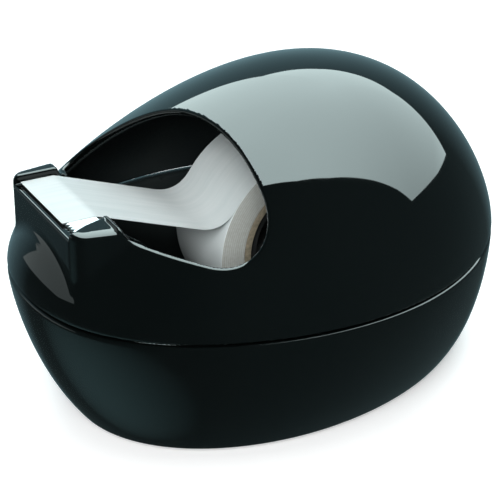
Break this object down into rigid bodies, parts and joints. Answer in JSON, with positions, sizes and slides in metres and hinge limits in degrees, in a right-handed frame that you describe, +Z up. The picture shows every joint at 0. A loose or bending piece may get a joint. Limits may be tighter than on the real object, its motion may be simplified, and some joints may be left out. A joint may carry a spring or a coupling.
{
  "type": "egg-shaped desk tape dispenser",
  "caption": "Egg-shaped desk tape dispenser: a lift-off shell with an open mouth and serrated cutter over a weighted bowl that carries a spinning tape roll.",
  "frame": {"origin": "centre of the bounding box at the underside of the non-slip pad", "axes": "+X along the egg from the cutter to the round tail, +Y along the roll's axle towards the far side, +Z up"},
  "size_m": [0.0942, 0.074, 0.0622],
  "materials": {
    "body_plastic": "high-gloss moulded black",
    "blade_steel": "bright brushed",
    "tape_film": "wound matte film, off-white",
    "core_plastic": "plain moulded, tan grey",
    "hub_plastic": "satin black",
    "strip_film": "single layer of matte film",
    "ballast_metal": "as cast",
    "cover_plastic": "satin black",
    "screw_steel": "zinc plated",
    "pad_rubber": "fine non-slip texture"
  },
  "bodies": {
    "base": {"lower_bowl": "body_plastic", "ballast_weight": "ballast_metal", "ballast_cover": "cover_plastic", "cover_screws": "screw_steel", "base_pad": "pad_rubber"},
    "shell": {"upper_shell": "body_plastic", "cutter_blade": "blade_steel", "tape_strip": "strip_film"},
    "spool": {"spool_hub": "hub_plastic", "tape_core": "core_plastic", "tape_roll": "tape_film"}
  },
  "joints": [
    {"name": "shell_lift", "type": "slide", "parent": "base", "child": "shell", "axis": [0, 0, 1], "range_m": [0, 0.045], "deforming": ["tape_strip"]},
    {"name": "roll_spin", "type": "hinge", "parent": "base", "child": "spool", "pos_m": [0.0071, 0.0025, 0.0289], "axis": [0, 1, 0], "continuous": true}
  ]
}
